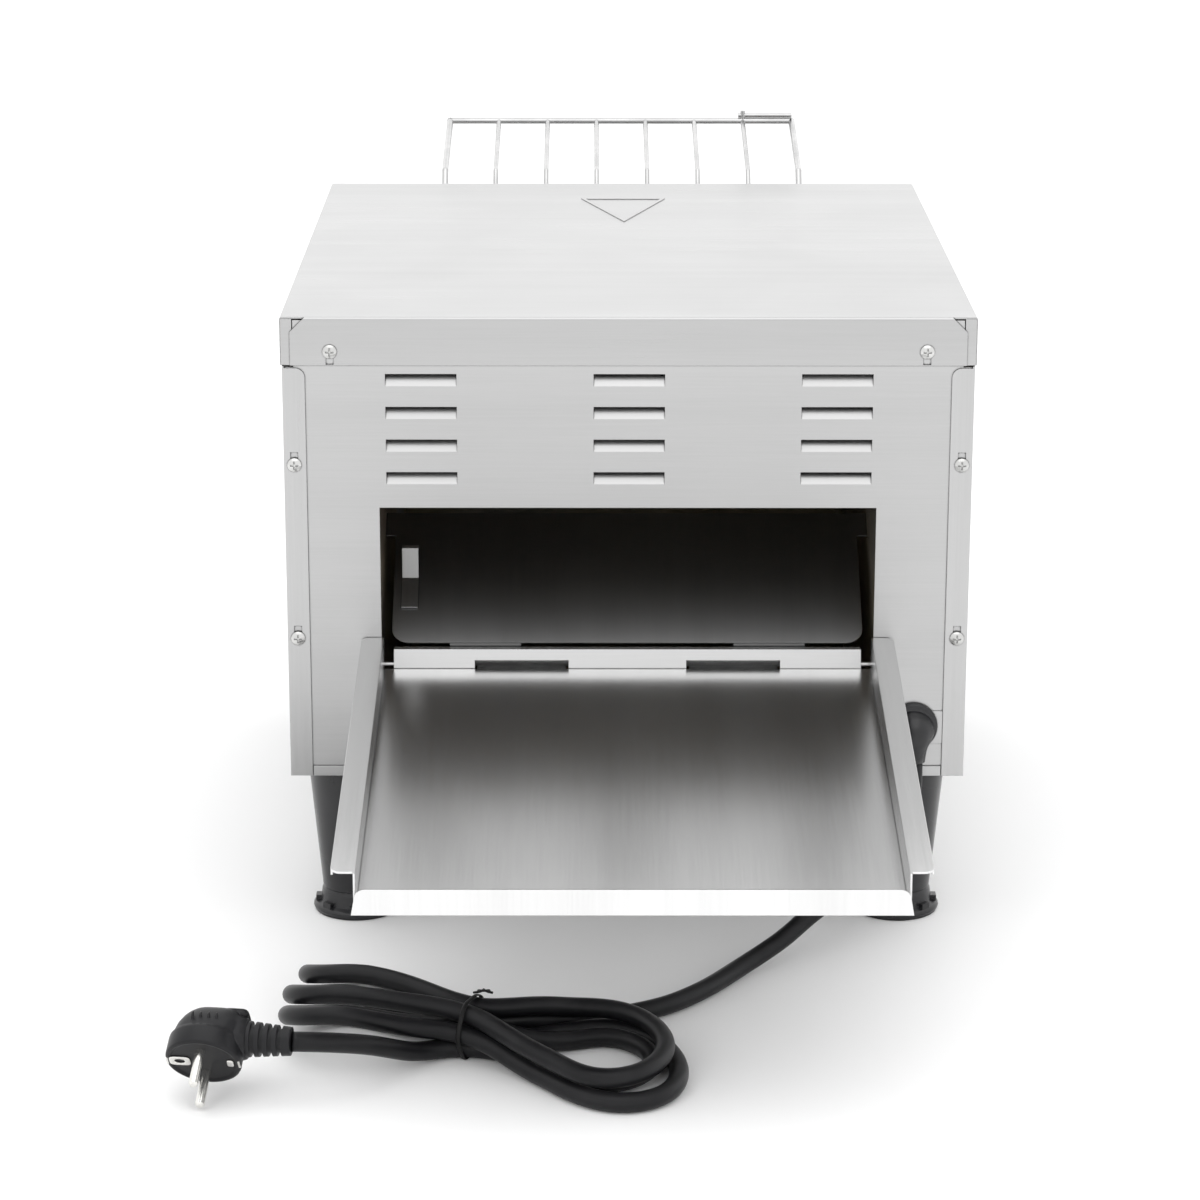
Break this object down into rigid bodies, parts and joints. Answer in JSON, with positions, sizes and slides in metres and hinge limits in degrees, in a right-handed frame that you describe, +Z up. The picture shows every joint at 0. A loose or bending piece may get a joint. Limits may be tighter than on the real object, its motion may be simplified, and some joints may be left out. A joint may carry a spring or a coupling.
{
  "type": "conveyor toaster",
  "caption": "Countertop conveyor toaster with a mesh belt between heaters, a wire loading rack, a sloping discharge tray and a tied mains lead",
  "frame": {"origin": "centre of the bounding box at the worktop, measured without the free mains lead and its plug", "axes": "+Z up, +Y towards the feed side with the loading rack, -Y towards the discharge tray"},
  "size_m": [0.4138, 0.8191, 0.3712],
  "materials": {
    "casing_steel": "satin brushed stainless sheet",
    "chamber_steel": "mill finish, heat tinted",
    "polished_steel": "bright annealed",
    "tray_steel": "bright annealed",
    "chromed_wire": "bright plated",
    "black_gloss_plastic": "moulded, glossy",
    "black_matt_plastic": "moulded, matt",
    "belt_wire": "drawn wire",
    "machined_steel": "machined",
    "bronze": "sintered",
    "motor_paint": "semi-gloss",
    "quartz": "fired clear",
    "white_ceramic": "unglazed",
    "white_plastic": "moulded",
    "circuit_board": "coated",
    "wire_sleeve": "silicone",
    "red_plastic": "moulded",
    "amber_lens": "moulded",
    "dial_aluminium": "satin",
    "cord_rubber": "satin rubber",
    "plug_rubber": "moulded",
    "plated_pins": "nickel plated",
    "tie_plastic": "coated wire",
    "screw_steel": "zinc plated"
  },
  "bodies": {
    "chassis": {"base_pan": "casing_steel", "rear_panel": "casing_steel", "left_side_panel": "casing_steel", "right_side_panel": "casing_steel", "front_panel": "casing_steel", "top_cover": "casing_steel", "left_chamber_wall": "chamber_steel", "right_chamber_wall": "chamber_steel", "heat_reflector": "chamber_steel", "heat_shield": "chamber_steel", "discharge_sill": "polished_steel", "chute": "polished_steel", "chute_clip": "polished_steel", "rack_support_rod": "chromed_wire", "legs": "black_gloss_plastic", "conveyor_belt": "belt_wire", "belt_slides": "chamber_steel", "shaft_bearings": "bronze", "gear_motor": "motor_paint", "motor_bracket": "chamber_steel", "drive_chain": "machined_steel", "upper_heaters": "quartz", "lower_heaters": "quartz", "heater_end_caps": "white_ceramic", "fan_frame": "black_matt_plastic", "terminal_block": "white_plastic", "speed_controller_board": "circuit_board", "wiring_loom": "wire_sleeve", "power_switch_body": "black_matt_plastic", "speed_potentiometer": "machined_steel", "heat_selector_switch": "white_plastic", "power_lamp": "amber_lens", "knob_dials": "dial_aluminium", "cord_gland": "black_gloss_plastic", "gland_nut": "black_matt_plastic", "entry_plate": "casing_steel", "power_cord": "cord_rubber", "cord_hank": "cord_rubber", "cord_tail": "cord_rubber", "plug_body": "plug_rubber", "plug_pins": "plated_pins", "plug_strain_relief": "plug_rubber", "cord_tie": "tie_plastic", "cover_screws": "screw_steel", "side_screws": "screw_steel"},
    "discharge_tray": {"discharge_tray": "tray_steel"},
    "crumb_tray": {"crumb_tray": "tray_steel"},
    "loading_rack": {"loading_rack": "chromed_wire"},
    "drive_line": {"drive_shaft": "machined_steel", "driven_sprocket": "machined_steel"},
    "idler_line": {"idler_shaft": "machined_steel"},
    "motor_output": {"motor_sprocket": "machined_steel"},
    "fan_rotor": {"fan_rotor": "black_matt_plastic"},
    "speed_knob": {"speed_knob": "black_matt_plastic"},
    "heat_knob": {"heat_knob": "black_matt_plastic"},
    "power_rocker": {"power_switch_rocker": "red_plastic"},
    "foot_1": {"foot_pad_1": "black_gloss_plastic"},
    "foot_2": {"foot_pad_2": "black_gloss_plastic"},
    "foot_3": {"foot_pad_3": "black_gloss_plastic"},
    "foot_4": {"foot_pad_4": "black_gloss_plastic"}
  },
  "joints": [
    {"name": "discharge_tray_slide", "type": "slide", "parent": "chassis", "child": "discharge_tray", "axis": [0, -0.9909, -0.1349], "range_m": [0, 0.06]},
    {"name": "crumb_tray_slide", "type": "slide", "parent": "chassis", "child": "crumb_tray", "axis": [0, 1, 0], "range_m": [0, 0.3]},
    {"name": "loading_rack_lift", "type": "slide", "parent": "chassis", "child": "loading_rack", "axis": [0, 0.6061, 0.7954], "range_m": [0, 0.05]},
    {"name": "drive_spin", "type": "hinge", "parent": "chassis", "child": "drive_line", "pos_m": [0, 0.2475, 0.253], "axis": [1, 0, 0], "continuous": true},
    {"name": "idler_spin", "type": "hinge", "parent": "chassis", "child": "idler_line", "pos_m": [0, -0.0125, 0.253], "axis": [1, 0, 0], "continuous": true},
    {"name": "motor_spin", "type": "hinge", "parent": "chassis", "child": "motor_output", "pos_m": [0, 0.1875, 0.15], "axis": [1, 0, 0], "continuous": true},
    {"name": "fan_spin", "type": "hinge", "parent": "chassis", "child": "fan_rotor", "pos_m": [0, 0.2025, 0.16], "axis": [1, 0, 0], "continuous": true},
    {"name": "speed_knob_turn", "type": "hinge", "parent": "chassis", "child": "speed_knob", "pos_m": [0.03, 0.2805, 0.165], "axis": [0, 1, 0], "range_deg": [0, 270]},
    {"name": "heat_knob_turn", "type": "hinge", "parent": "chassis", "child": "heat_knob", "pos_m": [-0.052, 0.2805, 0.165], "axis": [0, 1, 0], "range_deg": [0, 180]},
    {"name": "power_rocker_tilt", "type": "hinge", "parent": "chassis", "child": "power_rocker", "pos_m": [-0.118, 0.276, 0.165], "axis": [1, 0, 0], "range_deg": [0, 20]},
    {"name": "foot_1_height", "type": "slide", "parent": "chassis", "child": "foot_1", "axis": [0, 0, -1], "range_m": [0, 0.012]},
    {"name": "foot_2_height", "type": "slide", "parent": "chassis", "child": "foot_2", "axis": [0, 0, -1], "range_m": [0, 0.012]},
    {"name": "foot_3_height", "type": "slide", "parent": "chassis", "child": "foot_3", "axis": [0, 0, -1], "range_m": [0, 0.012]},
    {"name": "foot_4_height", "type": "slide", "parent": "chassis", "child": "foot_4", "axis": [0, 0, -1], "range_m": [0, 0.012]}
  ],
  "couplings": [
    {"joint": "idler_spin", "follows": "drive_spin", "ratio": 1},
    {"joint": "motor_spin", "follows": "drive_spin", "ratio": 1.6}
  ]
}
